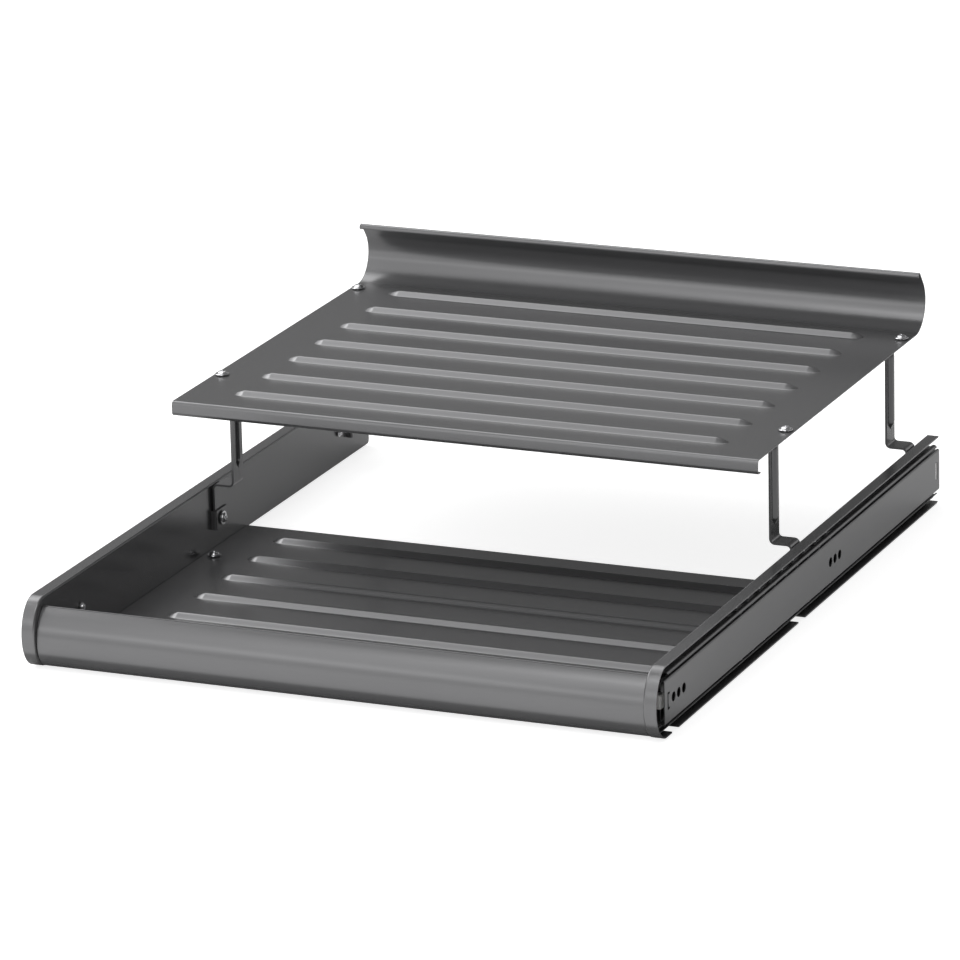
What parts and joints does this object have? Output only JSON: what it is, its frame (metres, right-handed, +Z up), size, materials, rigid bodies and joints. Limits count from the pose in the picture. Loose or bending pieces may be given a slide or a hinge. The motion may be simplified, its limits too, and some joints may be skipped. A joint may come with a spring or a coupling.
{
  "type": "pull-out shoe rack",
  "caption": "Pull-out shoe rack for a wardrobe: low steel tray on ball bearing runners, with a raised ribbed shoe shelf on bent legs.",
  "frame": {"origin": "under the middle of the rack, on the plane of the tray's underside, runners closed", "axes": "+X to the right seen from the front, +Y to the back of the wardrobe, +Z up; the tray pulls out along -Y"},
  "size_m": [0.464, 0.5699, 0.1742],
  "materials": {
    "graphite_steel": "satin powder coat, dark metallic grey",
    "rail_steel": "satin grey coating on rolled steel",
    "bright_zinc": "bright zinc plate",
    "white_nylon": "natural white nylon"
  },
  "bodies": {
    "cabinet_rails": {"cabinet_rail_left": "rail_steel", "cabinet_rail_right": "rail_steel"},
    "tray": {"side_panel_left": "graphite_steel", "side_panel_right": "graphite_steel", "fascia": "graphite_steel", "tray_floor": "graphite_steel", "shoe_shelf": "graphite_steel", "leg_front_left": "graphite_steel", "leg_front_right": "graphite_steel", "leg_rear_left": "graphite_steel", "leg_rear_right": "graphite_steel", "tray_rail_left": "rail_steel", "tray_rail_right": "rail_steel", "shelf_screw_front_left": "bright_zinc", "shelf_screw_front_right": "bright_zinc", "shelf_screw_rear_left": "bright_zinc", "shelf_screw_rear_right": "bright_zinc", "leg_screw_front_left": "bright_zinc", "leg_screw_front_right": "bright_zinc", "leg_screw_rear_left": "bright_zinc", "leg_screw_rear_right": "bright_zinc", "floor_screw_front_left": "bright_zinc", "floor_screw_front_right": "bright_zinc", "floor_screw_rear_left": "bright_zinc", "floor_screw_rear_right": "bright_zinc", "rail_screw_front_left": "bright_zinc", "rail_screw_front_right": "bright_zinc", "rail_screw_rear_left": "bright_zinc", "rail_screw_rear_right": "bright_zinc", "fascia_screw_1": "bright_zinc", "fascia_screw_2": "bright_zinc", "fascia_screw_3": "bright_zinc", "fascia_screw_4": "bright_zinc", "runner_bumper_left": "white_nylon", "runner_bumper_right": "white_nylon"},
    "middle_left": {"middle_rail_left": "rail_steel"},
    "outer_cage_left": {"outer_ball_cage_left": "bright_zinc"},
    "inner_cage_left": {"inner_ball_cage_left": "bright_zinc"},
    "middle_right": {"middle_rail_right": "rail_steel"},
    "outer_cage_right": {"outer_ball_cage_right": "bright_zinc"},
    "inner_cage_right": {"inner_ball_cage_right": "bright_zinc"}
  },
  "joints": [
    {"name": "tray_slide", "type": "slide", "parent": "cabinet_rails", "child": "tray", "axis": [0, -1, 0], "range_m": [0, 0.45]},
    {"name": "middle_slide_left", "type": "slide", "parent": "cabinet_rails", "child": "middle_left", "axis": [0, -1, 0], "range_m": [0, 0.225]},
    {"name": "middle_slide_right", "type": "slide", "parent": "cabinet_rails", "child": "middle_right", "axis": [0, -1, 0], "range_m": [0, 0.225]},
    {"name": "outer_cage_slide_left", "type": "slide", "parent": "cabinet_rails", "child": "outer_cage_left", "axis": [0, -1, 0], "range_m": [0, 0.3375]},
    {"name": "outer_cage_slide_right", "type": "slide", "parent": "cabinet_rails", "child": "outer_cage_right", "axis": [0, -1, 0], "range_m": [0, 0.3375]},
    {"name": "inner_cage_slide_left", "type": "slide", "parent": "cabinet_rails", "child": "inner_cage_left", "axis": [0, -1, 0], "range_m": [0, 0.1125]},
    {"name": "inner_cage_slide_right", "type": "slide", "parent": "cabinet_rails", "child": "inner_cage_right", "axis": [0, -1, 0], "range_m": [0, 0.1125]}
  ],
  "couplings": [
    {"joint": "middle_slide_left", "follows": "tray_slide", "ratio": 0.5},
    {"joint": "middle_slide_right", "follows": "tray_slide", "ratio": 0.5},
    {"joint": "outer_cage_slide_left", "follows": "tray_slide", "ratio": 0.75},
    {"joint": "outer_cage_slide_right", "follows": "tray_slide", "ratio": 0.75},
    {"joint": "inner_cage_slide_left", "follows": "tray_slide", "ratio": 0.25},
    {"joint": "inner_cage_slide_right", "follows": "tray_slide", "ratio": 0.25}
  ]
}
